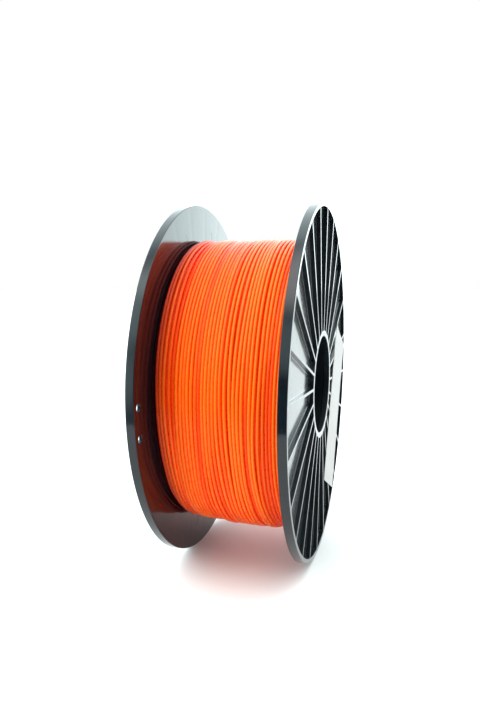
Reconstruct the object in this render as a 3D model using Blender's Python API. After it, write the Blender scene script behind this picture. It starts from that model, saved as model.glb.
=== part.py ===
"""A loaded spool of 3-D printer filament, standing on its two rims.

The spool's axis runs along X at the height of the flange radius. The flange with the label faces +X and
the flange with the holes for the filament's end faces -X. Angles round the axis are measured from +Y
towards +Z. The origin is on the floor, midway between the flanges.
"""

import math

import bmesh
import bpy
from mathutils import Vector

# Driving dimensions, in metres.
FLANGE_RADIUS = 0.100
OVERALL_WIDTH = 0.076
FLANGE_DEPTH = 0.0045
WEB_THICKNESS = 0.0020
RIM_LAND = 0.0024
RIM_CHAMFER = 0.0003
RIB_COUNT = 24
RIB_THICKNESS = 0.0015
BORE_RADIUS = 0.0275
HUB_LAND = 0.0030
BARREL_RADIUS = 0.040
BARREL_WALL = 0.0024
SLEEVE_WALL = 0.0020
REGISTER_LENGTH = 0.005
REGISTER_WALL = 0.0024
REGISTER_CLEARANCE = 0.0004
SEAT_DEPTH = 0.001
WINDING_RADIUS = 0.0794
WINDING_SHOULDER_DROP = 0.0016
WINDING_SHOULDER_WIDTH = 0.0060
WINDING_EDGE_ROUND = 0.0009
WINDING_SLACK = 0.0015
SLACK_START = -0.030
SLACK_FULL = 0.005
TAIL_OFF_RADIUS = 0.0812
FILAMENT_DIAMETER = 0.00175
HOLE_RADIUS = 0.0020
HOLE_CIRCLE_RADIUS = 0.0945
HOLE_PITCH = 0.0154
LABEL_LENGTH = 0.100
LABEL_WIDTH = 0.042
LABEL_THICKNESS = 0.0002
GAP = 0.0003

# The circle of ribs starts 12.5 degrees above +Y, so that a pocket straddles 5 and 185 degrees.
FIRST_RIB = math.radians(12.5)
RIB_PITCH = 2 * math.pi / RIB_COUNT
HOLE_POCKETS = (math.radians(5), math.radians(185))
TAIL_POCKET = HOLE_POCKETS[0]
START_ANGLE = math.radians(60)

# The label lies askew across the ribs, beside the bore.
LABEL_CENTRE_Y = 0.0556
LABEL_CENTRE_Z = -0.0234
LABEL_TURN = math.radians(67)

# Round pieces have a flat facet straight down, which the spool stands on. Flats touch the true circle.
SEGMENTS = 72
SLEEVE_SEGMENTS = 48
POCKET_ARC_STEPS = 3
HOLE_SIDES = 16
STRAND_SIDES_RESOLUTION = 2
POINTS_PER_SPAN = 4

INNER_FACE = OVERALL_WIDTH / 2 - FLANGE_DEPTH
OUTER_FACE = OVERALL_WIDTH / 2
POCKET_FLOOR = INNER_FACE + WEB_THICKNESS
HUB_RADIUS = BORE_RADIUS + HUB_LAND
RIM_INNER_RADIUS = FLANGE_RADIUS - RIM_LAND
SMOOTH_ANGLE = math.radians(30)


def clear_scene():
    for obj in list(bpy.data.objects):
        bpy.data.objects.remove(obj, do_unlink=True)


def material(name, colour, roughness):
    made = bpy.data.materials.new(name)
    made.use_nodes = True
    shader = made.node_tree.nodes["Principled BSDF"]
    shader.inputs["Base Color"].default_value = (*colour, 1.0)
    shader.inputs["Roughness"].default_value = roughness
    shader.inputs["Metallic"].default_value = 0.0
    made.diffuse_color = (*colour, 1.0)
    return made


def add_object(name, mesh, finish):
    obj = bpy.data.objects.new(name, mesh)
    bpy.context.scene.collection.objects.link(obj)
    obj.location.z = FLANGE_RADIUS
    if finish is not None:
        mesh.materials.append(finish)
    return obj


def smooth(mesh):
    mesh.shade_smooth()
    mesh.set_sharp_from_angle(angle=SMOOTH_ANGLE)


def lathe(name, profile, segments):
    """A closed ring whose section is the outline of (x, radius) points, turned about the X axis."""
    grow = 1 / math.cos(math.pi / segments)
    start = -math.pi / 2 + math.pi / segments
    bm = bmesh.new()
    rings = []
    for step in range(segments):
        angle = start + 2 * math.pi * step / segments
        y, z = math.cos(angle) * grow, math.sin(angle) * grow
        rings.append([bm.verts.new((x, radius * y, radius * z)) for x, radius in profile])
    for step, ring in enumerate(rings):
        following = rings[(step + 1) % segments]
        for corner in range(len(profile)):
            after = (corner + 1) % len(profile)
            bm.faces.new((ring[corner], ring[after], following[after], following[corner]))
    bmesh.ops.recalc_face_normals(bm, faces=bm.faces)
    mesh = bpy.data.meshes.new(name)
    bm.to_mesh(mesh)
    bm.free()
    return mesh


def prisms(name, outlines, low_x, high_x):
    """One mesh of separate closed prisms along X, each with an outline of (y, z) points."""
    bm = bmesh.new()
    for outline in outlines:
        face = bm.faces.new([bm.verts.new((low_x, y, z)) for y, z in outline])
        grown = bmesh.ops.extrude_face_region(bm, geom=[face])["geom"]
        moved = [item for item in grown if isinstance(item, bmesh.types.BMVert)]
        bmesh.ops.translate(bm, verts=moved, vec=(high_x - low_x, 0, 0))
    bmesh.ops.recalc_face_normals(bm, faces=bm.faces)
    mesh = bpy.data.meshes.new(name)
    bm.to_mesh(mesh)
    bm.free()
    return mesh


def cut(obj, mesh):
    """Takes the mesh's prisms out of the object with a Boolean that keeps its cutter in the scene."""
    cutter = add_object(mesh.name, mesh, None)
    cutter.hide_render = True
    cutter.display_type = "WIRE"
    modifier = obj.modifiers.new("cut_" + mesh.name, "BOOLEAN")
    modifier.operation = "DIFFERENCE"
    modifier.solver = "EXACT"
    modifier.object = cutter


def pocket_outline(middle):
    """The recess between two ribs: an arc under the rim, then an arc back round the hub."""
    points = []
    for radius, way in ((RIM_INNER_RADIUS, 1), (HUB_RADIUS, -1)):
        reach = way * (RIB_PITCH / 2 - math.asin(RIB_THICKNESS / 2 / radius))
        for step in range(POCKET_ARC_STEPS + 1):
            angle = middle + reach * (2 * step / POCKET_ARC_STEPS - 1)
            points.append((radius * math.cos(angle), radius * math.sin(angle)))
    return points


def hole_angles(pocket):
    """The two holes of a pocket, one each side of its middle."""
    half = math.asin(HOLE_PITCH / 2 / HOLE_CIRCLE_RADIUS)
    return (pocket - half, pocket + half)


def circle_outline(centre_y, centre_z, radius, sides):
    turns = [2 * math.pi * (side + 0.5) / sides for side in range(sides)]
    return [(centre_y + radius * math.cos(a), centre_z + radius * math.sin(a)) for a in turns]


def flange_profile():
    """Section of a flange towards +X: rim, outer face, bore, seat for the sleeve, ring inside the barrel."""
    seat_radius = BORE_RADIUS + SLEEVE_WALL + GAP
    register_radius = BARREL_RADIUS - BARREL_WALL - REGISTER_CLEARANCE
    return [
        (INNER_FACE, FLANGE_RADIUS - RIM_CHAMFER),
        (INNER_FACE + RIM_CHAMFER, FLANGE_RADIUS),
        (OUTER_FACE - RIM_CHAMFER, FLANGE_RADIUS),
        (OUTER_FACE, FLANGE_RADIUS - RIM_CHAMFER),
        (OUTER_FACE, BORE_RADIUS),
        (INNER_FACE + SEAT_DEPTH, BORE_RADIUS),
        (INNER_FACE + SEAT_DEPTH, seat_radius),
        (INNER_FACE, seat_radius),
        (INNER_FACE, register_radius - REGISTER_WALL),
        (INNER_FACE - REGISTER_LENGTH, register_radius - REGISTER_WALL),
        (INNER_FACE - REGISTER_LENGTH, register_radius),
        (INNER_FACE, register_radius),
    ]


def make_flange(name, side, finish):
    """side is 1 for the flange towards +X and -1 for the one towards -X."""
    profile = [(side * x, radius) for x, radius in flange_profile()]
    flange = add_object(name, lathe(name, profile, SEGMENTS), finish)
    middles = [FIRST_RIB + RIB_PITCH * (rib + 0.5) for rib in range(RIB_COUNT)]
    outlines = [pocket_outline(middle) for middle in middles]
    ends = sorted((side * POCKET_FLOOR, side * (OUTER_FACE + GAP)))
    cut(flange, prisms(name + "_pockets", outlines, *ends))
    return flange


def drill_filament_holes(flange):
    """Pairs of holes through the web near the rim, one pair each side of the axis."""
    outlines = []
    for pocket in HOLE_POCKETS:
        for angle in hole_angles(pocket):
            y, z = HOLE_CIRCLE_RADIUS * math.cos(angle), HOLE_CIRCLE_RADIUS * math.sin(angle)
            outlines.append(circle_outline(y, z, HOLE_RADIUS, HOLE_SIDES))
    cut(flange, prisms("filament_holes", outlines, -OUTER_FACE, GAP - INNER_FACE))


def make_barrel(finish):
    """The drum under the filament, with a small hole for the strand's inner end."""
    half = INNER_FACE - GAP
    inner = BARREL_RADIUS - BARREL_WALL
    profile = [(-half, inner), (half, inner), (half, BARREL_RADIUS), (-half, BARREL_RADIUS)]
    barrel = add_object("winding_barrel", lathe("winding_barrel", profile, SEGMENTS), finish)
    outline = circle_outline(0, 0, HOLE_RADIUS, HOLE_SIDES)
    drill = prisms("start_hole", [outline], BARREL_RADIUS - 2 * BARREL_WALL, BARREL_RADIUS + BARREL_WALL)
    cut(barrel, drill)
    cutter = bpy.data.objects["start_hole"]
    # The prism's own X axis is turned to point out of the axis at the strand's angle.
    cutter.rotation_euler = (START_ANGLE, 0, math.pi / 2)
    cutter.rotation_mode = "ZYX"
    return barrel


def make_sleeve(finish):
    half = INNER_FACE + SEAT_DEPTH - GAP
    outer = BORE_RADIUS + SLEEVE_WALL
    profile = [(-half, BORE_RADIUS), (half, BORE_RADIUS), (half, outer), (-half, outer)]
    return add_object("bore_sleeve", lathe("bore_sleeve", profile, SLEEVE_SEGMENTS), finish)


def slack(x):
    """How far the outer turns have grown and dropped at x, so that they hang lower under the drum."""
    share = min(1.0, max(0.0, (x - SLACK_START) / (SLACK_FULL - SLACK_START)))
    return WINDING_SLACK * share * share * (3 - 2 * share)


def make_winding(finish):
    """The body of wound filament: low at the flange with the holes, and slack towards the other one."""
    half = INNER_FACE - GAP
    inner = BARREL_RADIUS + GAP
    low = WINDING_RADIUS - WINDING_SHOULDER_DROP
    stations = [SLACK_START + (SLACK_FULL - SLACK_START) * step / 4 for step in range(1, 5)]
    outside = [
        (half, WINDING_RADIUS - WINDING_EDGE_ROUND),
        (half - WINDING_EDGE_ROUND, WINDING_RADIUS),
        *((x, WINDING_RADIUS) for x in reversed(stations)),
        (WINDING_SHOULDER_WIDTH - half, WINDING_RADIUS - WINDING_EDGE_ROUND / 2),
        (WINDING_EDGE_ROUND - half, low),
        (-half, low - WINDING_EDGE_ROUND),
    ]
    grown = [(x, radius + slack(x)) for x, radius in outside]
    mesh = lathe("filament_winding", [(-half, inner), (half, inner), *grown], SEGMENTS)
    for vertex in mesh.vertices:
        if math.hypot(vertex.co.y, vertex.co.z) > (inner + low) / 2:
            vertex.co.z -= slack(vertex.co.x)
    return add_object("filament_winding", mesh, finish)


def smooth_route(corners):
    """Points along a Catmull-Rom curve through the given ones."""
    padded = [2 * corners[0] - corners[1], *corners, 2 * corners[-1] - corners[-2]]
    points = []
    for before, here, there, after in zip(padded, padded[1:], padded[2:], padded[3:]):
        for step in range(POINTS_PER_SPAN):
            t = step / POINTS_PER_SPAN
            points.append(
                0.5 * (2 * here + (there - before) * t)
                + 0.5 * (2 * before - 5 * here + 4 * there - after) * t**2
                + 0.5 * (3 * here - before - 3 * there + after) * t**3
            )
    return [*points, corners[-1]]


def strand(name, points, finish):
    """A length of filament as a capped round tube along the points."""
    curve = bpy.data.curves.new(name, "CURVE")
    curve.dimensions = "3D"
    curve.bevel_depth = FILAMENT_DIAMETER / 2
    curve.bevel_resolution = STRAND_SIDES_RESOLUTION
    curve.use_fill_caps = True
    spline = curve.splines.new("POLY")
    spline.points.add(len(points) - 1)
    for target, point in zip(spline.points, points):
        target.co = (*point, 1.0)
    return add_object(name, curve, finish)


def tail_corners():
    """The strand's outer end: straight off the winding, out through one hole and back in through the next."""
    first, second = hole_angles(TAIL_POCKET)
    off_angle = first - math.acos(TAIL_OFF_RADIUS / HOLE_CIRCLE_RADIUS)
    off = Vector((0, math.cos(off_angle), math.sin(off_angle))) * TAIL_OFF_RADIUS
    hole_a = Vector((0, HOLE_CIRCLE_RADIUS * math.cos(first), HOLE_CIRCLE_RADIUS * math.sin(first)))
    hole_b = Vector((0, HOLE_CIRCLE_RADIUS * math.cos(second), HOLE_CIRCLE_RADIUS * math.sin(second)))
    along = (hole_a - off).normalized()
    across = (hole_b - hole_a).normalized()
    web = INNER_FACE + WEB_THICKNESS / 2
    run = POCKET_FLOOR + GAP + FILAMENT_DIAMETER / 2
    # Each row: a place, how far past it, which way, and how far along the axis.
    rows = [
        (off, 0.0, along, 0.0225),
        (off, 0.016, along, 0.0232),
        (off, 0.032, along, 0.0247),
        (hole_a, -0.0090, along, 0.0274),
        (hole_a, -0.0040, along, 0.0293),
        (hole_a, -0.0011, along, 0.0315),
        (hole_a, 0.0, across, web),
        (hole_a, 0.0011, across, run - 0.0005),
        (hole_a, 0.0036, across, run),
        (hole_b, -0.0036, across, run),
        (hole_b, -0.0011, across, run - 0.0005),
        (hole_b, 0.0, across, web),
        (hole_b, 0.0005, across, 0.0312),
        (hole_b, 0.0018, across, 0.0262),
    ]
    return [place + way * past - Vector((axial, 0, 0)) for place, past, way, axial in rows]


def start_corners():
    """The strand's inner end: in through the barrel's wall, then bent over along the axis."""
    rows = [(0.0397, 0.0), (0.0370, 0.0), (0.0346, 0.0009), (0.0334, 0.0035), (0.0331, 0.0085)]
    out = Vector((0, math.cos(START_ANGLE), math.sin(START_ANGLE)))
    return [out * radius + Vector((shift, 0, 0)) for radius, shift in rows]


def make_label(finish):
    """A flat sticker across the rib tops, with its long side turned from +Y."""
    mesh = bpy.data.meshes.new("label")
    bm = bmesh.new()
    bmesh.ops.create_cube(bm, size=1.0)
    bmesh.ops.scale(bm, vec=(LABEL_THICKNESS, LABEL_LENGTH, LABEL_WIDTH), verts=bm.verts)
    bm.to_mesh(mesh)
    bm.free()
    label = add_object("label", mesh, finish)
    label.rotation_euler.x = LABEL_TURN
    label.location.x = OUTER_FACE + GAP + LABEL_THICKNESS / 2
    label.location.y = LABEL_CENTRE_Y
    label.location.z += LABEL_CENTRE_Z
    return label


def main():
    clear_scene()
    black = {"colour": (0.012, 0.014, 0.016), "roughness": 0.18}
    orange = {"colour": (0.90, 0.085, 0.012), "roughness": 0.25}
    label_side = make_flange("flange_label_side", 1, material("flange_label_side", **black))
    hole_side = make_flange("flange_hole_side", -1, material("flange_hole_side", **black))
    drill_filament_holes(hole_side)
    barrel = make_barrel(material("winding_barrel", **black))
    sleeve = make_sleeve(material("bore_sleeve", **black))
    winding = make_winding(material("filament_winding", **orange))
    strand("filament_tail", smooth_route(tail_corners()), material("filament_tail", **orange))
    strand("filament_start", smooth_route(start_corners()), material("filament_start", **orange))
    make_label(material("label", (0.86, 0.85, 0.82), 0.55))
    for turned in (label_side, hole_side, barrel, sleeve, winding):
        smooth(turned.data)


main()
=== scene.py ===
"""Looks of the filament spool: two glossy black ribbed flanges, an orange winding made of real turns of
strand, and a blank label.

The spool's axis runs along X. Angles round it are measured from +Y towards +Z, as in the CAD model.
"""

import math

import bmesh
import bpy
import numpy as np
from mathutils import Matrix, Vector


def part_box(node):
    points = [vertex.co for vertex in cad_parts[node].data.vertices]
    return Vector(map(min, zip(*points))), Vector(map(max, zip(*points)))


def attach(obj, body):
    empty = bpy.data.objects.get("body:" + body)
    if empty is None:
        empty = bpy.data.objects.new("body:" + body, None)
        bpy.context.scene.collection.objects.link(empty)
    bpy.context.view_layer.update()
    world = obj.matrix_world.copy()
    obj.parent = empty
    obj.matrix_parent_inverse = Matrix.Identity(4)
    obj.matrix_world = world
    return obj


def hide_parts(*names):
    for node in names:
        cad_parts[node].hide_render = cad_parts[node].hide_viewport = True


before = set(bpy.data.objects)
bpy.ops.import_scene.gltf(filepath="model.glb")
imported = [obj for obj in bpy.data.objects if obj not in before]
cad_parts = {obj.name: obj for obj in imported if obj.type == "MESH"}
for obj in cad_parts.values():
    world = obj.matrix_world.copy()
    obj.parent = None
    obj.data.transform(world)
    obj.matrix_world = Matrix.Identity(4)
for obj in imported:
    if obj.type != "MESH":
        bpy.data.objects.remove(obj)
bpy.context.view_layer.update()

MM = 0.001
FLANGE_LOW, FLANGE_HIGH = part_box("flange_label_side")
SLEEVE_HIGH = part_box("bore_sleeve")[1]
AXIS = Vector((0, 0, (FLANGE_LOW.z + FLANGE_HIGH.z) / 2))

# Flanges. Their depth and openings are the CAD model's.
FLANGE_RADIUS = 100 * MM
OUTER_FACE = FLANGE_HIGH.x
FLANGE_DEPTH = 4.5 * MM
INNER_FACE = OUTER_FACE - FLANGE_DEPTH
POCKET_DEPTH = 2.5 * MM
RIM_LAND = 2.4 * MM
RIM_ROUND = 0.35 * MM
RIB_COUNT = 24
RIB_THICKNESS = 1.5 * MM
RIB_PITCH = 2 * math.pi / RIB_COUNT
FIRST_RIB = math.radians(12.5)
BORE_RADIUS = 27.5 * MM
HUB_LAND = 3.0 * MM
LAND_EDGE = 0.12 * MM
POCKET_CORNER = 0.7 * MM
POCKET_DRAFT = 0.06 * MM
POCKET_FILLET = 0.35 * MM
FACE_RADII = (98.8, 96, 90, 84, 78, 70, 60, 50, 40)
SINK_DEPTH = 0.03 * MM
SINK_LOW, SINK_HIGH = 38 * MM, 97 * MM
PIN_MARKS = 12
PIN_MARK_RADIUS = 3.2 * MM
PIN_MARK_CIRCLE = 84.5 * MM
PIN_MARK_DEPTH = 0.05 * MM
PIN_MARK_SIDES = 36
SEAT_DEPTH = 1.0 * MM
SEAT_RADIUS = 29.8 * MM
REGISTER_RADII = (34.8 * MM, 37.2 * MM)
REGISTER_LENGTH = 5.0 * MM
ARC_STEPS = 12
SIDE_STEPS = 3
CORNER_STEPS = 3
ROUND_STEPS = 3

# Holes for the filament's end, in the pockets at 5 and 185 degrees, with rounded lips.
HOLE_RADIUS = 2.0 * MM
HOLE_LIP = 0.75 * MM
HOLE_CIRCLE = 94.5 * MM
HOLE_PITCH = 15.4 * MM
HOLE_POCKETS = (math.radians(5), math.radians(185))
HOLE_SIDES = 40
LIP_STEPS = 5

SLEEVE_WALL = 2.0 * MM
SLEEVE_EDGE = 0.3 * MM
SLEEVE_SIDES = 144

# Label, about its own middle: centre from the spool's axis, and the turn of its long side.
LABEL_LENGTH = 100 * MM
LABEL_WIDTH = 42 * MM
LABEL_CENTRE = Vector((55.6 * MM, -23.4 * MM))
LABEL_TURN = math.radians(67)
LABEL_CORNER = 0.8 * MM
LABEL_THICKNESS = 0.16 * MM
LABEL_GAP = 0.03 * MM
LABEL_DIP = 0.10 * MM
LABEL_LIFT = 0.5 * MM
LABEL_COLUMNS = 120
LABEL_ROWS = 50

# Winding. The strand is the usual 1.75 mm one. A layer lies LAYER_RISE above the one under it.
# The outer turns hang slack under the drum, and drop in level near the flanges.
STRAND = 1.75 * MM
LAYER_RISE = 0.90 * STRAND
CHANNEL_GAP = 0.15 * MM
DRUM_RADIUS = 40.0 * MM
WINDING_RADIUS = 80.6 * MM
SLACK = 1.05 * MM
SLACK_START = -30 * MM
SLACK_FULL = 5 * MM
SHOULDER_DROP = 1.1 * MM
SHOULDER_WIDTH = 5.0 * MM
# The winding has settled by the hole side's flange: how deep, where along the axis, and where round it.
LEFT_SINK = 1.6 * MM
LEFT_SINK_START = 25 * MM
LEFT_SINK_WIDTH = 8 * MM
LEFT_SINK_FROM, LEFT_SINK_TO = 2.9, 6.1
TURNS = 33
TOP_SPREAD = 0.65 * MM
TOP_SWAY = 0.12 * MM
SECOND_LINES = 36
SECOND_SPREAD = 0.10 * MM
SWAY_WAVES = 6
SETTLE_PASSES = 80
EVEN_WIDTH = 4
# Sunken turns: how deep they lie at most, and groups of them.
# A group is its place as a share of the turns, its width in turns, and its depth.
SUNK_DEPTH = 0.6 * STRAND
SUNK_GROUPS = ((0.10, 1.8, 0.9), (0.28, 0.8, 0.5), (0.60, 0.8, 0.35), (0.83, 1.0, 0.1))
CROSS_ANGLE = math.radians(286)
STATIONS = 216
STRAND_SIDES = 12
SECOND_SIDES = 8
CORE_SIDES = 120
CORE_SIDE = 1.6
CORE_PITCH = 1.02 * STRAND
CORE_DEPTH = 3.1 * STRAND
DRUM_GAP = 0.4 * MM
RIDGE_HALF = 0.42
RIDGE_DIP = 0.28 * STRAND
TIGHT_DEPTH = 20 * MM
TAIL_OFF_RADIUS = 81.5 * MM
TAIL_STEPS = 26
ROUTE_STEPS = 8

# Colours. The deep orange is painted shade on the strand's sides and on sunken turns, and also the
# colour they are made to shine with; the shade orange is a painted shadow of the hole side's flange on
# the turns near it.
BLACK = (0.0042, 0.0066, 0.0092)
ORANGE = (0.98, 0.128, 0.005)
ORANGE_LIGHT = (0.985, 0.156, 0.007)
ORANGE_PAINTED_SHADE = (0.86, 0.030, 0.001)
ORANGE_PAINTED_SHADOW = (0.44, 0.007, 0.009)
# How strongly the strand's shaded sides are made to shine, a painted light.
PAINTED_GLOW = 0.30
# Along the axis, the painted shadow by the hole side's flange is full at the first and gone at the
# second.
PAINTED_SHADOW_LOW, PAINTED_SHADOW_HIGH = -33 * MM, -24 * MM
PAPER = (0.515, 0.485, 0.472)
PAPER_LIGHT = (0.55, 0.518, 0.505)
DUST = (0.25, 0.25, 0.25)
FLOOR = (0.78, 0.75, 0.742)
FLOOR_LIGHT = (0.81, 0.78, 0.77)

# The satin of the flanges' ribbed sides: its strength, its start along the axis, its end outwards.
SATIN = 0.36
SATIN_FROM = (34.6 * MM, 35.2 * MM)
SATIN_RIM = (97 * MM, 98 * MM)

# Camera: millimetre sensor and lens, and its turn in radians.
CAMERA_PLACE = (0.0934, -0.3751, AXIS.z + 0.05764)
CAMERA_YAW, CAMERA_PITCH = -0.2942, -0.1768
CAMERA_LENS = 33.28
CAMERA_SENSOR = 36
CAMERA_SHIFT = (0.0215, 0.0562)

# Studio. The table ends in front of the spool. Levels are radiance, where 1 shows as white.
# A ramp goes over one axis of the light's direction: the front's X, the back's Z, the room's Y.
TABLE_FRONT = 0.33
TABLE_REACH = 6
WALL_LEVEL = 3.6
CEILING_LEVEL = 2.7
FRONT_LEVELS = (0.8, 0.04)
FRONT_RAMP = (-0.7, -0.2)
BACK_RAMP = (0.12, 0.6)
ROOM_RAMP = (-0.12, 0.32)
ROOM_TINT = (0.83, 0.975, 1.0)
WARM = (1.0, 0.985, 0.96)
COOL = (0.80, 0.985, 1.0)
# Lamps: azimuth, elevation, core angle and edge angle in degrees, level, colour.
LAMPS = (
    (-56, 14, 10, 30, 1.9, COOL),
    (-40, 5, 8, 26, 1.8, COOL),
    (-54, 38, 10, 30, 2.8, COOL),
    (-78, 45, 8, 28, 2.0, COOL),
    (-8, 30, 5, 22, 1.6, COOL),
    (0, 72, 8, 30, 4.6, WARM),
    (20, 34, 8, 28, 0.8, COOL),
    (62, 48, 8, 34, 0.8, COOL),
    (173, 4, 4, 16, 1.0, WARM),
    (158, 79, 2, 11, 1.6, (1.0, 0.55, 0.38)),
)

rng = np.random.default_rng(24)


# ---------------------------------------------------------------- mesh helpers


def new_object(name, mesh):
    obj = bpy.data.objects.new(name, mesh)
    bpy.context.scene.collection.objects.link(obj)
    return obj


def mesh_from_bmesh(name, bm):
    mesh = bpy.data.meshes.new(name)
    bm.to_mesh(mesh)
    bm.free()
    return mesh


def finish_piece(obj, body, slot, *nodes):
    """The piece rides on its body and stands for its CAD nodes, which it hides; slot is not used."""
    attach(obj, body)
    if nodes:
        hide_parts(*nodes)
    return obj


def weighted_normals(obj):
    """Keeps flat faces flat beside their small rounded edges."""
    modifier = obj.modifiers.new("normals", "WEIGHTED_NORMAL")
    modifier.weight = 100
    modifier.keep_sharp = True


def smooth(obj, degrees):
    obj.data.shade_smooth()
    obj.data.set_sharp_from_angle(angle=math.radians(degrees))


def on_circle(radius, angle):
    return Vector((radius * math.cos(angle), radius * math.sin(angle)))


def lathe_rows(bm, rows, count, start=0.0, closed=False):
    """Rings of faces between rows of (x, radius), with count points in each ring."""
    rings = []
    for x, radius in rows:
        turns = [start + 2 * math.pi * k / count for k in range(count)]
        rings.append([bm.verts.new((x, radius * math.cos(a), radius * math.sin(a))) for a in turns])
    if closed:
        rings.append(rings[0])
    for ring, following in zip(rings, rings[1:]):
        for k in range(count):
            after = (k + 1) % count
            bm.faces.new((ring[k], ring[after], following[after], following[k]))
    return rings


def round_rows(centre, radius, first_degrees, last_degrees):
    """Points of a rounded edge in a section of (x, radius)."""
    points = []
    for step in range(ROUND_STEPS + 1):
        angle = math.radians(first_degrees + (last_degrees - first_degrees) * step / ROUND_STEPS)
        points.append((centre[0] + radius * math.cos(angle), centre[1] + radius * math.sin(angle)))
    return points


# ---------------------------------------------------------------- flanges


def pocket_loop(offset):
    """Outline of a pocket about its middle line, moved inwards by offset, with a fixed point count."""
    half_pitch = RIB_PITCH / 2
    rim = FLANGE_RADIUS - RIM_LAND
    hub = BORE_RADIUS + HUB_LAND
    aside = RIB_THICKNESS / 2 + POCKET_CORNER
    corner = POCKET_CORNER - offset
    along = Vector((math.cos(half_pitch), math.sin(half_pitch)))
    inwards = Vector((math.sin(half_pitch), -math.cos(half_pitch)))
    outer_reach = math.sqrt((rim - POCKET_CORNER) ** 2 - aside**2)
    inner_reach = math.sqrt((hub + POCKET_CORNER) ** 2 - aside**2)
    outer_turn = half_pitch - math.asin(aside / (rim - POCKET_CORNER))
    inner_turn = half_pitch - math.asin(aside / (hub + POCKET_CORNER))
    sideways = half_pitch + math.pi / 2
    points = []
    for step in range(ARC_STEPS // 2 + 1):
        points.append(on_circle(rim - offset, outer_turn * 2 * step / ARC_STEPS))
    centre = along * outer_reach + inwards * aside
    for step in range(1, CORNER_STEPS + 1):
        angle = outer_turn + (sideways - outer_turn) * step / CORNER_STEPS
        points.append(centre + on_circle(corner, angle))
    for step in range(1, SIDE_STEPS):
        reach = outer_reach + (inner_reach - outer_reach) * step / SIDE_STEPS
        points.append(along * reach + inwards * (aside - corner))
    centre = along * inner_reach + inwards * aside
    for step in range(CORNER_STEPS + 1):
        angle = sideways + (inner_turn + math.pi - sideways) * step / CORNER_STEPS
        points.append(centre + on_circle(corner, angle))
    for step in range(1, ARC_STEPS // 2 + 1):
        points.append(on_circle(hub + offset, inner_turn * (1 - 2 * step / ARC_STEPS)))
    mirrored = [Vector((p.x, -p.y)) for p in reversed(points[1:-1])]
    return points + mirrored


def land_loop(outer, inner):
    """The points of the flat land round a pocket that face those of pocket_loop."""
    half_pitch = RIB_PITCH / 2
    points = []
    for step in range(ARC_STEPS // 2 + 1):
        points.append(on_circle(outer, half_pitch * 2 * step / ARC_STEPS))
    points += [on_circle(outer, half_pitch)] * CORNER_STEPS
    for step in range(1, SIDE_STEPS):
        points.append(on_circle(outer + (inner - outer) * step / SIDE_STEPS, half_pitch))
    points += [on_circle(inner, half_pitch)] * (CORNER_STEPS + 1)
    for step in range(1, ARC_STEPS // 2 + 1):
        points.append(on_circle(inner, half_pitch * (1 - 2 * step / ARC_STEPS)))
    mirrored = [Vector((p.x, -p.y)) for p in reversed(points[1:-1])]
    return points + mirrored


def pocket_levels():
    """(offset, depth) from the land's rounded edge, down the drafted wall and round the fillet."""
    levels = []
    for step in range(ROUND_STEPS + 1):
        t = math.pi / 2 * step / ROUND_STEPS
        levels.append((LAND_EDGE * (math.sin(t) - 1), LAND_EDGE * (1 - math.cos(t))))
    for step in range(ROUND_STEPS + 1):
        t = math.pi / 2 * step / ROUND_STEPS
        offset = POCKET_DRAFT + POCKET_FILLET * (1 - math.cos(t))
        levels.append((offset, POCKET_DEPTH - POCKET_FILLET * (1 - math.sin(t))))
    return levels


def add_sector(bm, middle, outer, inner):
    """One pocket with the half ribs, rim land and hub land round it."""
    cosine, sine = math.cos(middle), math.sin(middle)

    def place(point, depth):
        y = point.x * cosine - point.y * sine
        z = point.x * sine + point.y * cosine
        return bm.verts.new((OUTER_FACE - depth, y, z))

    loops = [[place(p, depth) for p in pocket_loop(offset)] for offset, depth in pocket_levels()]
    land = land_loop(outer, inner)
    edge = [place(p, 0) for p in land]
    count = len(edge)
    for k in range(count):
        after = (k + 1) % count
        if (land[k] - land[after]).length < 1e-9:
            bm.faces.new((edge[k], loops[0][after], loops[0][k]))
        else:
            bm.faces.new((edge[k], edge[after], loops[0][after], loops[0][k]))
    for upper, lower in zip(loops, loops[1:]):
        for k in range(count):
            after = (k + 1) % count
            bm.faces.new((upper[k], upper[after], lower[after], lower[k]))
    bm.faces.new(loops[-1])


def flange_mesh(name):
    """A flange with its ribs towards +X: pockets, closed behind by a turned rim, face and bore."""
    bm = bmesh.new()
    outer = FLANGE_RADIUS - RIM_ROUND
    inner = BORE_RADIUS + RIM_ROUND
    for rib in range(RIB_COUNT):
        add_sector(bm, FIRST_RIB + RIB_PITCH * (rib + 0.5), outer, inner)
    register_low, register_high = REGISTER_RADII
    rows = [
        *round_rows((OUTER_FACE - RIM_ROUND, outer), RIM_ROUND, 0, 90),
        *round_rows((INNER_FACE + RIM_ROUND, outer), RIM_ROUND, 90, 180),
        *((INNER_FACE, radius * MM) for radius in FACE_RADII),
        (INNER_FACE, register_high),
        (INNER_FACE - REGISTER_LENGTH, register_high),
        (INNER_FACE - REGISTER_LENGTH, register_low),
        (INNER_FACE, register_low),
        (INNER_FACE, SEAT_RADIUS),
        (INNER_FACE + SEAT_DEPTH, SEAT_RADIUS),
        (INNER_FACE + SEAT_DEPTH, BORE_RADIUS),
        *round_rows((OUTER_FACE - RIM_ROUND, inner), RIM_ROUND, 270, 360),
    ]
    rings = lathe_rows(bm, rows, RIB_COUNT * ARC_STEPS, FIRST_RIB)
    for (x, radius), ring in zip(rows, rings):
        if x == INNER_FACE and SINK_LOW < radius < SINK_HIGH:
            for vertex in ring[::ARC_STEPS]:
                vertex.co.x += SINK_DEPTH
    bmesh.ops.remove_doubles(bm, verts=bm.verts, dist=2e-6)
    bmesh.ops.recalc_face_normals(bm, faces=bm.faces)
    return mesh_from_bmesh(name, bm)


def make_flange(name, side):
    """A flange in its place. The hole side's is the mirror image."""
    mesh = flange_mesh(name)
    if side < 0:
        mesh.transform(Matrix.Scale(-1, 4, (1, 0, 0)))
        mesh.flip_normals()
    mesh.transform(Matrix.Translation(AXIS))
    return new_object(name, mesh)


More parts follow.
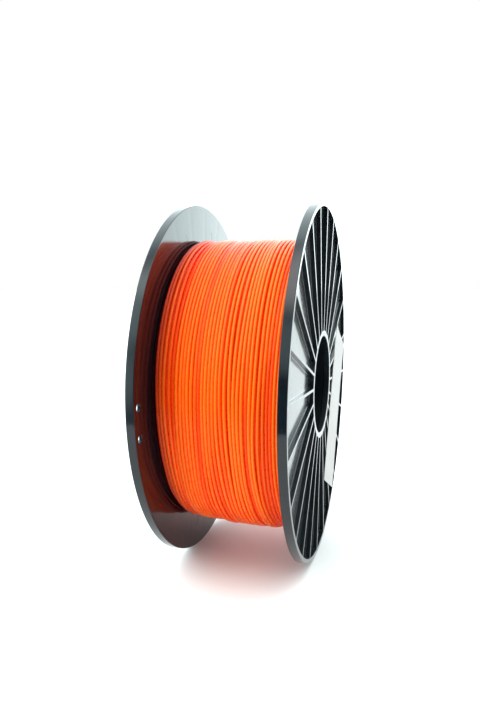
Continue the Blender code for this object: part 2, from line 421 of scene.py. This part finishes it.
def round_cutter(bm, y, z, profile, count):
    """A closed round cutter along X about (y, z), with its ends filled."""
    rings = lathe_rows(bm, profile, count)
    for ring in rings:
        for vertex in ring:
            vertex.co += Vector((0, y, z))
    bm.faces.new(rings[0])
    bm.faces.new(rings[-1])


def lip_profile(side):
    """A hole through the web, opening into a rounded lip on both sides."""
    points = []
    for face, way in ((INNER_FACE, -1), (INNER_FACE + FLANGE_DEPTH - POCKET_DEPTH, 1)):
        rows = [(face + way * HOLE_LIP, HOLE_RADIUS + HOLE_LIP)]
        for step in range(LIP_STEPS + 1):
            t = math.pi / 2 * step / LIP_STEPS
            radius = HOLE_RADIUS + HOLE_LIP * (1 - math.sin(t))
            rows.append((face - way * HOLE_LIP * (1 - math.cos(t)), radius))
        points += rows if way < 0 else rows[::-1]
    return [(side * x, radius) for x, radius in points]


def cut_face(flange, side):
    """Cuts the ejector-pin marks of the inner face, and on the hole side the filament holes."""
    bm = bmesh.new()
    for mark in range(PIN_MARKS):
        y, z = on_circle(PIN_MARK_CIRCLE, FIRST_RIB + RIB_PITCH * (2 * mark + 0.5))
        low, high = side * (INNER_FACE - MM), side * (INNER_FACE + PIN_MARK_DEPTH)
        round_cutter(bm, y, z, [(low, PIN_MARK_RADIUS), (high, PIN_MARK_RADIUS)], PIN_MARK_SIDES)
    if side < 0:
        half = math.asin(HOLE_PITCH / 2 / HOLE_CIRCLE)
        for pocket in HOLE_POCKETS:
            for turn in (-half, half):
                y, z = on_circle(HOLE_CIRCLE, pocket + turn)
                round_cutter(bm, y, z, lip_profile(side), HOLE_SIDES)
    bmesh.ops.recalc_face_normals(bm, faces=bm.faces)
    bmesh.ops.translate(bm, verts=bm.verts, vec=AXIS)
    cutter = new_object("cutter", mesh_from_bmesh("cutter", bm))
    modifier = flange.modifiers.new("holes", "BOOLEAN")
    modifier.operation = "DIFFERENCE"
    modifier.solver = "EXACT"
    modifier.object = cutter
    graph = bpy.context.evaluated_depsgraph_get()
    drilled = bpy.data.meshes.new_from_object(flange.evaluated_get(graph))
    flange.modifiers.clear()
    flange.data = drilled
    bpy.data.objects.remove(cutter)


# ---------------------------------------------------------------- sleeve and label


def make_sleeve():
    """The tube that lines the bore, with rounded ends."""
    reach = SLEEVE_HIGH.x
    outer = SLEEVE_HIGH.y
    inner = outer - SLEEVE_WALL
    edge = SLEEVE_EDGE
    rows = [
        *round_rows((reach - edge, outer - edge), edge, 90, 0),
        *round_rows((reach - edge, inner + edge), edge, 0, -90),
        (0, inner),
        *round_rows((edge - reach, inner + edge), edge, 270, 180),
        *round_rows((edge - reach, outer - edge), edge, 180, 90),
        (0, outer),
    ]
    bm = bmesh.new()
    lathe_rows(bm, rows, SLEEVE_SIDES, closed=True)
    bmesh.ops.recalc_face_normals(bm, faces=bm.faces)
    bmesh.ops.translate(bm, verts=bm.verts, vec=AXIS)
    return new_object("bore_lining", mesh_from_bmesh("bore_lining", bm))


def label_outline(along, across):
    """Moves a point of the label's grid so that its corners are rounded."""
    reach = Vector((LABEL_LENGTH / 2 - LABEL_CORNER, LABEL_WIDTH / 2 - LABEL_CORNER))
    past = Vector((max(0.0, abs(along) - reach.x), max(0.0, abs(across) - reach.y)))
    if past.length > LABEL_CORNER:
        past *= LABEL_CORNER / past.length
    return (
        math.copysign(min(abs(along), reach.x) + past.x, along),
        math.copysign(min(abs(across), reach.y) + past.y, across),
    )


def make_label():
    """A thin paper label on the rib tops: it dips between the ribs and lifts a little at its corners."""
    bm = bmesh.new()
    columns, rows = LABEL_COLUMNS, LABEL_ROWS
    turn = Matrix.Rotation(LABEL_TURN, 2)
    layers = []
    for thickness in (0.0, LABEL_THICKNESS):
        layer = []
        for column in range(columns + 1):
            line = []
            for row in range(rows + 1):
                along, across = label_outline(
                    LABEL_LENGTH * (column / columns - 0.5), LABEL_WIDTH * (row / rows - 0.5)
                )
                place = turn @ Vector((along, across)) + LABEL_CENTRE
                angle = math.atan2(place.y, place.x) - FIRST_RIB
                fold = abs((angle / RIB_PITCH + 0.5) % 1 - 0.5) * RIB_PITCH * place.length
                dip = LABEL_DIP * min(1.0, max(0.0, fold - 1.2 * MM) / (5 * MM)) ** 0.7
                outwards = abs(along) / (LABEL_LENGTH / 2) + abs(across) / (LABEL_WIDTH / 2)
                lift = LABEL_LIFT * max(0.0, outwards - 1.5) ** 2 * (1.6 if along > 0 else 0.7)
                x = OUTER_FACE + LABEL_GAP + thickness - dip + lift
                line.append(bm.verts.new((x, place.x, place.y + AXIS.z)))
            layer.append(line)
        layers.append(layer)
    for layer in layers:
        for column in range(columns):
            for row in range(rows):
                here, beside = layer[column], layer[column + 1]
                bm.faces.new((here[row], beside[row], beside[row + 1], here[row + 1]))
    edges = [
        [layer[c][0] for c in range(columns + 1)]
        + [layer[columns][r] for r in range(1, rows + 1)]
        + [layer[c][rows] for c in range(columns - 1, -1, -1)]
        + [layer[0][r] for r in range(rows - 1, 0, -1)]
        for layer in layers
    ]
    for k, vertex in enumerate(edges[0]):
        after = (k + 1) % len(edges[0])
        bm.faces.new((vertex, edges[0][after], edges[1][after], edges[1][k]))
    bmesh.ops.recalc_face_normals(bm, faces=bm.faces)
    return new_object("blank_label", mesh_from_bmesh("blank_label", bm))


# ---------------------------------------------------------------- materials


class Nodes:
    """A short way to write a node tree."""

    def __init__(self, name):
        self.material = bpy.data.materials.new(name)
        self.material.use_nodes = True
        self.tree = self.material.node_tree
        self.shader = self.tree.nodes["Principled BSDF"]

    def add(self, kind, **settings):
        node = self.tree.nodes.new(kind)
        for key, value in settings.items():
            setattr(node, key, value)
        return node

    def feed(self, socket, value):
        if isinstance(value, bpy.types.NodeSocket):
            self.tree.links.new(value, socket)
        else:
            socket.default_value = value

    def place(self):
        return self.add("ShaderNodeTexCoord").outputs["Object"]

    def math(self, operation, first, second=0.0):
        node = self.add("ShaderNodeMath", operation=operation)
        for socket, value in zip(node.inputs, (first, second)):
            self.feed(socket, value)
        return node.outputs[0]

    def noise(self, vector, scale, detail=3.0, roughness=0.5):
        node = self.add("ShaderNodeTexNoise")
        self.feed(node.inputs["Vector"], vector)
        node.inputs["Scale"].default_value = scale
        node.inputs["Detail"].default_value = detail
        node.inputs["Roughness"].default_value = roughness
        return node.outputs["Fac"]

    def stretched(self, vector, scale):
        node = self.add("ShaderNodeMapping")
        self.feed(node.inputs["Vector"], vector)
        node.inputs["Scale"].default_value = scale
        return node.outputs[0]

    def ramp(self, factor, low, high, first, last):
        """Maps factor from low..high onto first..last and keeps it there."""
        node = self.add("ShaderNodeMapRange", clamp=True)
        self.feed(node.inputs["Value"], factor)
        for key, value in zip(("From Min", "From Max", "To Min", "To Max"), (low, high, first, last)):
            self.feed(node.inputs[key], value)
        return node.outputs[0]

    def mix(self, factor, first, second):
        node = self.add("ShaderNodeMix", data_type="RGBA")
        self.feed(node.inputs[0], factor)
        self.feed(node.inputs[6], first)
        self.feed(node.inputs[7], second)
        return node.outputs[2]

    def bump(self, height, distance, strength=1.0, normal=None):
        node = self.add("ShaderNodeBump")
        node.inputs["Strength"].default_value = strength
        node.inputs["Distance"].default_value = distance
        self.feed(node.inputs["Height"], height)
        if normal is not None:
            self.feed(node.inputs["Normal"], normal)
        return node.outputs[0]


def black_plastic(name):
    """Glossy black moulded plastic with flow mottle, scuffs and a little dust, satin on the ribs."""
    nodes = Nodes(name)
    place = nodes.place()
    mottle = nodes.noise(place, 55, 4)
    scuff = nodes.noise(nodes.stretched(place, (1, 1, 1.6)), 420, 5, 0.62)
    grain = nodes.noise(place, 1300, 2)
    colour = nodes.mix(nodes.ramp(mottle, 0.35, 0.7, 0, 1), (*BLACK, 1), (*(1.5 * c for c in BLACK), 1))
    dust = nodes.ramp(nodes.noise(place, 1500, 2, 0.7), 0.70, 0.80, 0.0, 0.02)
    colour = nodes.mix(dust, colour, (*DUST, 1))
    nodes.feed(nodes.shader.inputs["Base Color"], colour)
    rough = nodes.ramp(scuff, 0.45, 0.78, 0.075, 0.20)
    rough = nodes.math("ADD", rough, nodes.ramp(mottle, 0.3, 0.8, 0.0, 0.05))
    nodes.feed(nodes.shader.inputs["Roughness"], rough)
    nodes.shader.inputs["IOR"].default_value = 1.44
    part = nodes.add("ShaderNodeSeparateXYZ")
    nodes.feed(part.inputs[0], place)
    y = part.outputs["Y"]
    z = nodes.math("SUBTRACT", part.outputs["Z"], AXIS.z)
    squares = nodes.math("ADD", nodes.math("MULTIPLY", y, y), nodes.math("MULTIPLY", z, z))
    ribbed = nodes.ramp(nodes.math("ABSOLUTE", part.outputs["X"]), *SATIN_FROM, 0, 1)
    inside = nodes.ramp(nodes.math("SQRT", squares), *SATIN_RIM, SATIN, 0)
    satin = nodes.math("MULTIPLY", ribbed, inside)
    nodes.feed(nodes.shader.inputs["Coat Weight"], satin)
    nodes.shader.inputs["Coat Roughness"].default_value = 0.45
    nodes.shader.inputs["Coat IOR"].default_value = 1.35
    wave = nodes.bump(nodes.noise(place, 38, 2), 0.00012, 0.35)
    fine = nodes.bump(grain, 0.000012, 0.06, wave)
    nodes.feed(nodes.shader.inputs["Normal"], fine)
    return nodes.material


def core_plastic(name):
    """The satin black plastic of the core, with draw marks along the axis."""
    nodes = Nodes(name)
    place = nodes.place()
    mottle = nodes.noise(place, 60, 4)
    drawn = nodes.noise(nodes.stretched(place, (0.08, 1, 1)), 900, 4, 0.6)
    dark, light = (0.5 * c for c in BLACK), (0.8 * c for c in BLACK)
    colour = nodes.mix(nodes.ramp(mottle, 0.3, 0.7, 0, 1), (*dark, 1), (*light, 1))
    nodes.feed(nodes.shader.inputs["Base Color"], colour)
    nodes.feed(nodes.shader.inputs["Roughness"], nodes.ramp(drawn, 0.3, 0.75, 0.46, 0.54))
    nodes.shader.inputs["IOR"].default_value = 1.3
    nodes.shader.inputs["Specular IOR Level"].default_value = 0.1
    nodes.feed(nodes.shader.inputs["Normal"], nodes.bump(drawn, 0.00001, 0.15))
    return nodes.material


def orange_strand(name):
    """Smooth orange filament, with painted shade on each strand's sides, on sunken turns and by the hole
    side's flange, and painted light shining faintly from the shaded sides.
    """
    nodes = Nodes(name)
    place = nodes.place()
    patch = nodes.noise(place, 18, 3)
    colour = nodes.mix(nodes.ramp(patch, 0.3, 0.7, 0, 1), (*ORANGE, 1), (*ORANGE_LIGHT, 1))
    aside = nodes.add("ShaderNodeAttribute", attribute_name="aside").outputs["Fac"]
    depth = nodes.add("ShaderNodeAttribute", attribute_name="depth").outputs["Fac"]
    # Painted shade: the strand's sides and its sunken turns take the deep orange.
    deep = nodes.ramp(aside, 0.15, 0.9, 0, 1)
    painted_shade = nodes.math("MAXIMUM", deep, nodes.ramp(depth, 0.05, 0.8, 0, 0.75))
    # Painted shadow of the hole side's flange over the turns beside it.
    across = nodes.add("ShaderNodeSeparateXYZ")
    nodes.feed(across.inputs[0], place)
    shade = nodes.ramp(across.outputs["X"], PAINTED_SHADOW_LOW, PAINTED_SHADOW_HIGH, 1, 0)
    colour = nodes.mix(painted_shade, colour, (*ORANGE_PAINTED_SHADE, 1))
    colour = nodes.mix(shade, colour, (*ORANGE_PAINTED_SHADOW, 1))
    nodes.feed(nodes.shader.inputs["Base Color"], colour)
    rough = nodes.ramp(nodes.noise(place, 900, 3), 0.3, 0.7, 0.24, 0.34)
    nodes.feed(nodes.shader.inputs["Roughness"], rough)
    # Painted light: the shaded sides shine faintly in the deep orange, less on sunken turns and not at
    # all in the painted flange shadow.
    nodes.shader.inputs["Emission Color"].default_value = (*ORANGE_PAINTED_SHADE, 1)
    painted_glow = nodes.math("MULTIPLY", deep, nodes.ramp(depth, 0.1, 1, PAINTED_GLOW, 0.3 * PAINTED_GLOW))
    painted_glow = nodes.math("MULTIPLY", painted_glow, nodes.math("SUBTRACT", 1.0, shade))
    nodes.feed(nodes.shader.inputs["Emission Strength"], painted_glow)
    nodes.shader.inputs["IOR"].default_value = 1.45
    nodes.shader.inputs["Specular IOR Level"].default_value = 0.19
    nodes.feed(nodes.shader.inputs["Normal"], nodes.bump(nodes.noise(place, 600, 3), 0.00002, 0.12))
    return nodes.material


def label_paper(name):
    """Plain pale paper with fibres and faint clouds."""
    nodes = Nodes(name)
    place = nodes.place()
    fibre = nodes.noise(nodes.stretched(place, (1, 1, 2.5)), 900, 5, 0.65)
    cloud = nodes.noise(place, 35, 3)
    colour = nodes.mix(nodes.ramp(cloud, 0.3, 0.75, 0, 1), (*PAPER, 1), (*PAPER_LIGHT, 1))
    nodes.feed(nodes.shader.inputs["Base Color"], colour)
    nodes.feed(nodes.shader.inputs["Roughness"], nodes.ramp(fibre, 0.3, 0.7, 0.62, 0.78))
    nodes.shader.inputs["Specular IOR Level"].default_value = 0.1
    nodes.feed(nodes.shader.inputs["Normal"], nodes.bump(fibre, 0.00003, 0.4))
    return nodes.material


# ---------------------------------------------------------------- winding


def smooth_share(value):
    """0 below 0, 1 above 1, and an even curve between."""
    value = np.clip(value, 0, 1)
    return value * value * (3 - 2 * value)


def slack(x):
    """How far the outer turns have grown and dropped at x, so that they hang lower under the drum."""
    return SLACK * smooth_share((x - SLACK_START) / (SLACK_FULL - SLACK_START))


def periodic_noise(count, waves, strength):
    """Smooth noise round one turn, with its first waves only."""
    angle = np.linspace(0, 2 * math.pi, count, endpoint=False)
    total = np.zeros(count)
    for wave in range(1, waves + 1):
        total += rng.normal() * np.cos(wave * angle + rng.uniform(0, 2 * math.pi)) / wave**0.5
    return strength * total


def tube(line, sides, radius):
    """The points of a tube round a line, ring after ring, each ring from its outermost point."""
    points = np.asarray(line)
    tangent = np.gradient(points, axis=0)
    tangent /= np.linalg.norm(tangent, axis=1)[:, None]
    out = points - np.array([0, 0, AXIS.z])
    out[:, 0] = 0
    out /= np.linalg.norm(out, axis=1)[:, None]
    across = np.cross(tangent, out)
    across /= np.linalg.norm(across, axis=1)[:, None]
    up = np.cross(across, tangent)
    turns = (2 * math.pi * np.arange(sides) / sides)[None, :, None]
    ring = np.cos(turns) * up[:, None, :] + np.sin(turns) * across[:, None, :]
    return (points[:, None, :] + radius * ring).reshape(-1, 3)


def tube_object(name, line, sides, radius, depth=None):
    """A tube with closed ends along a line of points.

    Its point attributes say how far a point faces aside and how deep it lies; the strand's material
    paints shade and light from them.
    """
    count = len(line)
    k = np.arange(count - 1)[:, None] * sides
    side = np.arange(sides)[None, :]
    after = (side + 1) % sides
    corners = [k + side, k + after, k + sides + after, k + sides + side]
    faces = np.stack(corners, -1).reshape(-1, 4).tolist()
    faces.append(np.arange(sides)[::-1].tolist())
    faces.append(((count - 1) * sides + np.arange(sides)).tolist())
    mesh = bpy.data.meshes.new(name)
    mesh.from_pydata(tube(line, sides, radius).tolist(), [], faces)
    mesh.update()
    aside = np.clip(1 - np.cos(2 * math.pi * np.arange(sides) / sides), 0, 1)
    depths = np.zeros(count) if depth is None else depth
    attributes = (("aside", np.tile(aside, count)), ("depth", np.repeat(depths, sides)))
    for key, values in attributes:
        attribute = mesh.attributes.new(key, "FLOAT", "POINT")
        attribute.data.foreach_set("value", values.astype(np.float32))
    obj = new_object(name, mesh)
    smooth(obj, 50)
    return obj


def swaying(count, spread, together=0.8):
    """Smooth wander of each line round its turn. Neighbours lean together, as they were laid."""
    angle = 2 * math.pi * np.arange(STATIONS) / STATIONS
    rows = np.zeros((count, STATIONS))
    for wave in range(1, SWAY_WAVES + 1):
        pull = rng.normal(size=(count, 2))
        for row in range(1, count):
            pull[row] = together * pull[row - 1] + math.sqrt(1 - together**2) * pull[row]
        rows += (pull[:, :1] * np.cos(wave * angle) + pull[:, 1:] * np.sin(wave * angle)) / wave
    return rows * spread


def turn_places(count, low, high, spread):
    """Places across the drum of the lines that a layer's turns run between, one row a line."""
    gaps = rng.uniform(0, 1, count) ** 5
    loose = high - low - (count - 1) * STRAND
    steps = STRAND + gaps[1:] / gaps[1:].sum() * loose
    even = low + np.concatenate([[0], np.cumsum(steps)])
    rows = even[:, None] + swaying(count, spread, together=0.72)
    for row in rows:
        row += periodic_noise(STATIONS, 5, 0.25 * spread)
    for _ in range(SETTLE_PASSES):
        for first in (0, 1):
            lower = rows[first:-1:2]
            upper = rows[first + 1 :: 2]
            push = np.clip(STRAND - (upper - lower), 0, None) / 2
            upper += push
            lower -= push
        rows = np.clip(rows, low, high)
    return rows


def running(rows):
    """A turn's place at each station: it slides from one line to the next over its round."""
    share = np.arange(STATIONS)[None, :] / STATIONS
    return rows[:-1] * (1 - share) + rows[1:] * share


def layer_radius(x, angle):
    """Centreline radius of the outer layer: lower at the flanges, and sunk under the hole side's."""
    x, angle = np.broadcast_arrays(x, angle)
    edge = smooth_share((np.abs(x) - INNER_FACE + SHOULDER_WIDTH) / SHOULDER_WIDTH)
    low_side = smooth_share((angle - LEFT_SINK_FROM) / 1.1) * smooth_share(LEFT_SINK_TO - angle)
    sunk = smooth_share((-x - LEFT_SINK_START) / LEFT_SINK_WIDTH) * low_side
    return WINDING_RADIUS - STRAND / 2 - SHOULDER_DROP * edge - LEFT_SINK * sunk + slack(x)


def seat(x, below_x, below_r):
    """Radius of a strand that lies on the turns below it, or over them where it touches none."""
    reach = np.abs(below_x - x[None, :])
    lift = np.sqrt(np.clip((0.98 * STRAND) ** 2 - reach**2, 0, None))
    resting = np.where(reach < STRAND, below_r + lift, 0).max(axis=0)
    return np.where(resting > 0, resting, below_r.mean(axis=0))


def evened(values, width):
    """Running average with soft ends."""
    kernel = np.hanning(2 * width + 3)[1:-1]
    padded = np.pad(values, width, mode="edge")
    return np.convolve(padded, kernel / kernel.sum(), mode="valid")


def strand_line(x, radius, angle):
    """World points of a strand. A slack turn hangs down, so its circle drops as much as it grows."""
    drop = slack(x)
    return np.stack([x, radius * np.cos(angle), radius * np.sin(angle) - drop + AXIS.z], axis=1)


def winding_core():
    """The turns under the two outer layers, closed at both ends, a ridge for each turn and layer."""
    reach = INNER_FACE - CHANNEL_GAP
    shoulder_x = reach - STRAND / 2
    rows = []
    layers = int((WINDING_RADIUS - CORE_DEPTH - DRUM_RADIUS) / LAYER_RISE)
    for layer in range(layers):
        middle = DRUM_RADIUS + DRUM_GAP + STRAND / 2 + layer * LAYER_RISE
        for step in (-1, 0, 1):
            rows.append((-reach + RIDGE_DIP * step * step, middle + RIDGE_HALF * STRAND * step))
    turns = int(2 * shoulder_x / CORE_PITCH)
    top = []
    for turn in range(turns + 1):
        middle = -shoulder_x + 2 * shoulder_x * turn / turns
        base = float(layer_radius(np.array(middle), np.array(CORE_SIDE))) - 1.75 * STRAND
        crest = base + STRAND / 2 - 0.6 * LEFT_SINK
        for step in (-1, 0, 1):
            top.append((middle + RIDGE_HALF * CORE_PITCH * step, crest - RIDGE_DIP * step * step))
    rows = rows + top + [(-x, r) for x, r in rows[::-1]]
    bm = bmesh.new()
    lathe_rows(bm, rows, CORE_SIDES, closed=True)
    bmesh.ops.recalc_face_normals(bm, faces=bm.faces)
    tight = DRUM_RADIUS + TIGHT_DEPTH
    for vertex in bm.verts:
        radius = math.hypot(vertex.co.y, vertex.co.z)
        share = max(0.0, (radius - tight) / (WINDING_RADIUS - tight))
        vertex.co.z += AXIS.z - float(slack(np.array(vertex.co.x))) * share
    obj = new_object("filament_core", mesh_from_bmesh("filament_core", bm))
    smooth(obj, 75)
    return obj


def smooth_route(corners):
    """Points of an even curve through the corners."""
    ends = [2 * corners[0] - corners[1], *corners, 2 * corners[-1] - corners[-2]]
    points = []
    for before, first, second, after in zip(ends, ends[1:], ends[2:], ends[3:]):
        slope = second - before
        bend = 2 * before - 5 * first + 4 * second - after
        twist = 3 * first - before - 3 * second + after
        for step in range(ROUTE_STEPS):
            t = step / ROUTE_STEPS
            points.append(0.5 * (2 * first + slope * t + bend * t**2 + twist * t**3))
    points.append(corners[-1])
    return points


def tail_corners():
    """The strand's end: off the winding, out through one hole and back in through the next.

    Each row is a hole or the winding, how far past it, which way, and how far out from the middle.
    """
    half = math.asin(HOLE_PITCH / 2 / HOLE_CIRCLE)
    first, second = HOLE_POCKETS[0] - half, HOLE_POCKETS[0] + half
    off_angle = first - math.acos(TAIL_OFF_RADIUS / HOLE_CIRCLE)
    off = Vector((0, *on_circle(TAIL_OFF_RADIUS, off_angle)))
    hole_a = Vector((0, *on_circle(HOLE_CIRCLE, first)))
    hole_b = Vector((0, *on_circle(HOLE_CIRCLE, second)))
    along = (hole_a - off).normalized()
    across = (hole_b - hole_a).normalized()
    web = INNER_FACE + (FLANGE_DEPTH - POCKET_DEPTH) / 2
    run = OUTER_FACE - POCKET_DEPTH + 0.3 * MM + STRAND / 2
    rows = [
        (off, 0, along, 22.5 * MM),
        (off, 16 * MM, along, 23.2 * MM),
        (off, 32 * MM, along, 24.7 * MM),
        (hole_a, -9.0 * MM, along, 27.4 * MM),
        (hole_a, -4.0 * MM, along, 29.3 * MM),
        (hole_a, -1.1 * MM, along, 31.5 * MM),
        (hole_a, 0, across, web),
        (hole_a, 1.1 * MM, across, run - 0.5 * MM),
        (hole_a, 3.6 * MM, across, run),
        (hole_b, -3.6 * MM, across, run),
        (hole_b, -1.1 * MM, across, run - 0.5 * MM),
        (hole_b, 0, across, web),
        (hole_b, 0.5 * MM, across, 31.2 * MM),
        (hole_b, 1.8 * MM, across, 26.2 * MM),
    ]
    corners = [AXIS + place + way * past - Vector((axial, 0, 0)) for place, past, way, axial in rows]
    return off_angle, corners


def sunken_turns():
    """How deep each outer turn has sunk between its neighbours, 0 to 1, at each station."""
    turn = np.arange(TURNS)
    deep = 0.9 * rng.uniform(0, 1, TURNS) ** 3.2
    for middle, width, share in SUNK_GROUPS:
        deep += share * np.exp(-(((turn - middle * TURNS) / width) ** 2))
    return np.clip(deep[:, None] * (0.8 + swaying(TURNS, 0.35)) + swaying(TURNS, 0.06), 0, 1)


def make_winding():
    """The strand's two outer layers, each a running helix, the core under them and the strand's end."""
    high = INNER_FACE - STRAND / 2 - CHANNEL_GAP
    low = -high
    angle = 2 * math.pi * np.arange(STATIONS) / STATIONS
    second_x = running(turn_places(SECOND_LINES, low, high, SECOND_SPREAD))
    second_r = layer_radius(second_x, angle[None, :]) - LAYER_RISE
    top_x = running(turn_places(TURNS + 1, low, high, TOP_SPREAD)[::-1])
    top_r = np.array([seat(row, second_x, second_r) for row in top_x])

    x = second_x.reshape(-1)
    turned = np.arange(len(x)) * 2 * math.pi / STATIONS
    # The second layer lies deep, so it takes the full painted shade.
    second = tube_object(
        "filament_second_layer",
        strand_line(x, second_r.reshape(-1), turned),
        SECOND_SIDES,
        STRAND / 2,
        np.ones(len(x)),
    )

    off_angle, corners = tail_corners()
    x = top_x.reshape(-1)
    depth = evened(sunken_turns().reshape(-1), EVEN_WIDTH)
    sway = swaying(TURNS, TOP_SWAY, together=0.5).reshape(-1)
    radius = evened(top_r.reshape(-1), EVEN_WIDTH) - SUNK_DEPTH * depth + sway
    climb = smooth_share(np.arange(len(x)) / (0.07 * STATIONS))
    radius = radius - (1 - climb) * LAYER_RISE
    turned = np.arange(len(x)) * 2 * math.pi / STATIONS
    line = strand_line(x, radius, turned)
    last = int((TURNS - 1) * STATIONS + STATIONS * CROSS_ANGLE / (2 * math.pi))
    body = line[: last + 1]

    rise = []
    start_x, start_r = x[last], radius[last]
    end_x = corners[0].x
    for step in range(1, TAIL_STEPS):
        share = step / TAIL_STEPS
        here = CROSS_ANGLE + (off_angle + 2 * math.pi - CROSS_ANGLE) * share
        across = start_x + (end_x - start_x) * float(smooth_share(np.array(share)))
        lift = start_r + (TAIL_OFF_RADIUS - start_r) * float(smooth_share(np.array(share * 3.2)))
        rise.append(Vector((across, lift * math.cos(here), lift * math.sin(here) + AXIS.z)))
    tail = [Vector(body[-1])] + rise + smooth_route(corners)
    tail_piece = tube_object("filament_end", np.array(tail), STRAND_SIDES, STRAND / 2)
    top = tube_object("filament_outer_layer", body, STRAND_SIDES, STRAND / 2, depth[: last + 1])
    return top, second, winding_core(), tail_piece


# ---------------------------------------------------------------- stage


def make_camera():
    """At the photograph's angle, a little above the axis and to the right of the winding."""
    data = bpy.data.cameras.new("camera")
    camera = new_object("camera", data)
    camera.location = CAMERA_PLACE
    level, climb = math.cos(CAMERA_PITCH), math.sin(CAMERA_PITCH)
    forward = Vector((math.sin(CAMERA_YAW) * level, math.cos(CAMERA_YAW) * level, climb))
    camera.rotation_mode = "QUATERNION"
    camera.rotation_quaternion = forward.to_track_quat("-Z", "Y")
    data.sensor_width = CAMERA_SENSOR
    data.lens = CAMERA_LENS
    data.shift_x, data.shift_y = CAMERA_SHIFT
    data.clip_start = 0.01
    bpy.context.scene.camera = camera


def make_floor():
    """A plain pale table, matt, with the faintest clouds."""
    bm = bmesh.new()
    bmesh.ops.create_grid(bm, x_segments=8, y_segments=8, size=TABLE_REACH)
    bmesh.ops.translate(bm, verts=bm.verts, vec=(0, TABLE_REACH - TABLE_FRONT, 0))
    floor = new_object("floor", mesh_from_bmesh("floor", bm))
    nodes = Nodes("floor")
    cloud = nodes.noise(nodes.place(), 3, 2)
    colour = nodes.mix(nodes.ramp(cloud, 0.3, 0.7, 0, 1), (*FLOOR, 1), (*FLOOR_LIGHT, 1))
    nodes.feed(nodes.shader.inputs["Base Color"], colour)
    nodes.shader.inputs["Roughness"].default_value = 0.6
    nodes.shader.inputs["Specular IOR Level"].default_value = 0.2
    floor.data.materials.append(nodes.material)


def towards(azimuth, elevation):
    """Direction seen from the object: azimuth 0 is the front (-Y) and 90 the label side (+X)."""
    a, e = math.radians(azimuth), math.radians(elevation)
    return Vector((math.sin(a) * math.cos(e), -math.cos(a) * math.cos(e), math.sin(e)))


def make_light():
    """A white room that is brightest behind and darker in front, with soft-edged lamps."""
    world = bpy.data.worlds.new("studio")
    bpy.context.scene.world = world
    world.use_nodes = True
    tree = world.node_tree
    background = tree.nodes["Background"]
    coord = tree.nodes.new("ShaderNodeTexCoord")
    split = tree.nodes.new("ShaderNodeSeparateXYZ")
    tree.links.new(coord.outputs["Generated"], split.inputs[0])

    def ranged(source, low, high, first, last):
        node = tree.nodes.new("ShaderNodeMapRange")
        node.interpolation_type = "SMOOTHSTEP"
        tree.links.new(source, node.inputs["Value"])
        for key, value in zip(("From Min", "From Max", "To Min", "To Max"), (low, high, first, last)):
            if isinstance(value, bpy.types.NodeSocket):
                tree.links.new(value, node.inputs[key])
            else:
                node.inputs[key].default_value = value
        return node.outputs[0]

    def tinted(level, colour):
        node = tree.nodes.new("ShaderNodeVectorMath")
        node.operation = "SCALE"
        node.inputs[0].default_value = colour
        tree.links.new(level, node.inputs["Scale"])
        return node.outputs[0]

    def lamp(azimuth, elevation, core, rim, level, colour):
        dot = tree.nodes.new("ShaderNodeVectorMath")
        dot.operation = "DOT_PRODUCT"
        tree.links.new(coord.outputs["Generated"], dot.inputs[0])
        dot.inputs[1].default_value = towards(azimuth, elevation)
        low, high = math.cos(math.radians(rim)), math.cos(math.radians(core))
        return tinted(ranged(dot.outputs["Value"], low, high, 0, level), colour)

    back = ranged(split.outputs["Z"], *BACK_RAMP, WALL_LEVEL, CEILING_LEVEL)
    front = ranged(split.outputs["X"], *FRONT_RAMP, *FRONT_LEVELS)
    room = ranged(split.outputs["Y"], *ROOM_RAMP, front, back)
    total = tinted(room, ROOM_TINT)
    for settings in LAMPS:
        node = tree.nodes.new("ShaderNodeVectorMath")
        node.operation = "ADD"
        tree.links.new(total, node.inputs[0])
        tree.links.new(lamp(*settings), node.inputs[1])
        total = node.outputs[0]
    tree.links.new(total, background.inputs["Color"])
    white = tree.nodes.new("ShaderNodeBackground")
    white.inputs["Color"].default_value = (1, 1, 1, 1)
    seen = tree.nodes.new("ShaderNodeLightPath")
    either = tree.nodes.new("ShaderNodeMixShader")
    tree.links.new(seen.outputs["Is Camera Ray"], either.inputs[0])
    tree.links.new(background.outputs[0], either.inputs[1])
    tree.links.new(white.outputs[0], either.inputs[2])
    tree.links.new(either.outputs[0], tree.nodes["World Output"].inputs["Surface"])


def main():
    make_camera()
    make_floor()
    make_light()
    plastic = black_plastic("flange_plastic")
    satin = core_plastic("core_plastic")
    orange = orange_strand("filament_orange")
    for name, side, node in (
        ("label_side_flange", 1, "flange_label_side"),
        ("hole_side_flange", -1, "flange_hole_side"),
    ):
        flange = make_flange(name, side)
        cut_face(flange, side)
        smooth(flange, 32)
        weighted_normals(flange)
        flange.data.materials.clear()
        flange.data.materials.append(plastic)
        finish_piece(flange, "root", "flange_plastic", node)
    top, second, core, tail = make_winding()
    for piece, node in (
        (top, "filament_winding"),
        (second, "filament_winding"),
        (core, "filament_winding"),
        (tail, "filament_tail"),
    ):
        piece.data.materials.append(orange)
        finish_piece(piece, "root", "filament", node)
    sleeve = make_sleeve()
    smooth(sleeve, 40)
    sleeve.data.materials.append(satin)
    finish_piece(sleeve, "root", "core_plastic", "bore_sleeve")
    label = make_label()
    smooth(label, 50)
    label.data.materials.append(label_paper("label_paper"))
    finish_piece(label, "root", "label_paper", "label")
    for node, finish in (
        ("winding_barrel", satin),
        ("filament_start", orange),
    ):
        for material_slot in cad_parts[node].material_slots:
            material_slot.material = finish
    bpy.context.scene.view_settings.view_transform = "Standard"


main()
